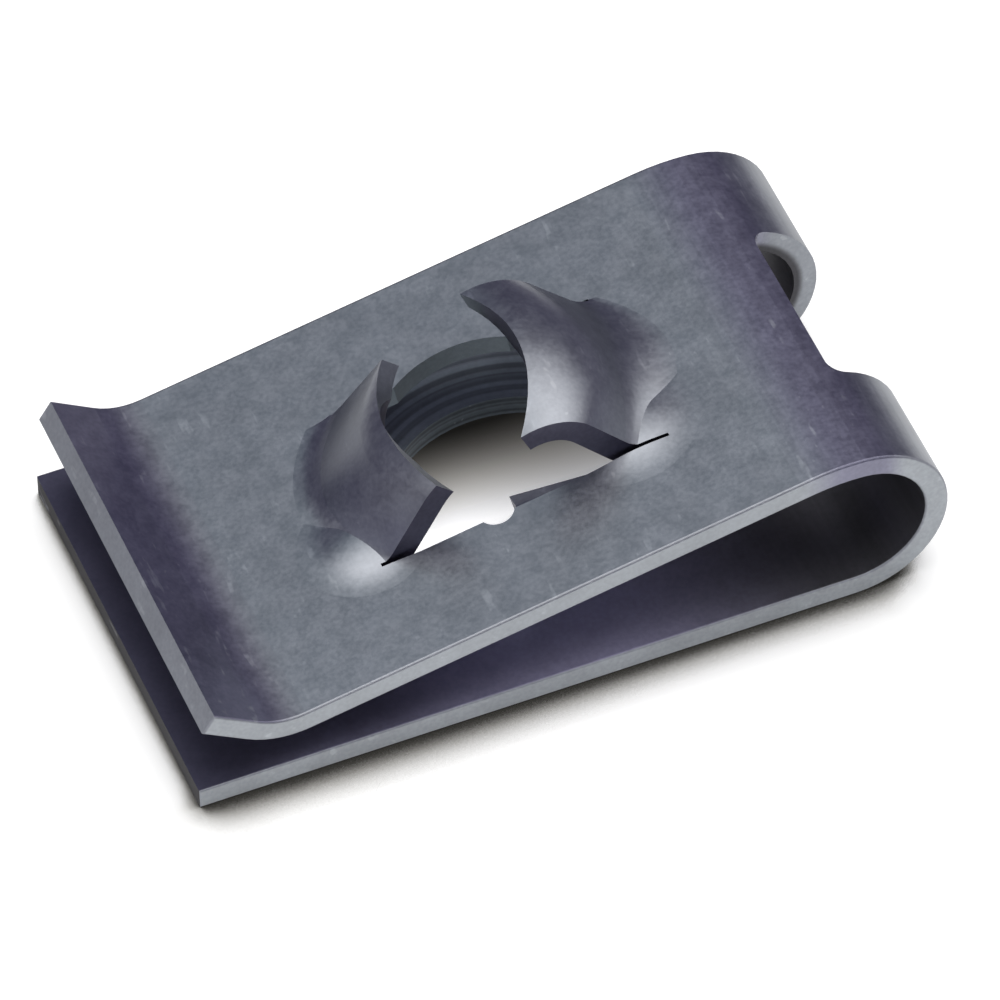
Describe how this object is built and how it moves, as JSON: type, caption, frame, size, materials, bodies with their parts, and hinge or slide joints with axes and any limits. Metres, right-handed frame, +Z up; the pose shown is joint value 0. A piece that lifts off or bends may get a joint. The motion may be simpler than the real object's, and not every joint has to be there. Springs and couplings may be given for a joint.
{
  "type": "u clip speed nut",
  "caption": "Folded spring-steel U nut: flat lower leg with a screw clearance hole, notched bend, and an upper leg with helical thread prongs and a lead-in lip.",
  "frame": {"origin": "axis of the screw clearance hole, on the underside of the lower leg", "axes": "+X along the lower leg from its front edge to the bend, +Y across the strip, +Z up out of the lower leg towards the prongs"},
  "size_m": [0.0226, 0.0126, 0.0073],
  "materials": {
    "spring_steel": "satin blue-grey phosphated spring steel, with paler sheared edges"
  },
  "bodies": {
    "root": {"speed_nut": "spring_steel"}
  },
  "joints": []
}
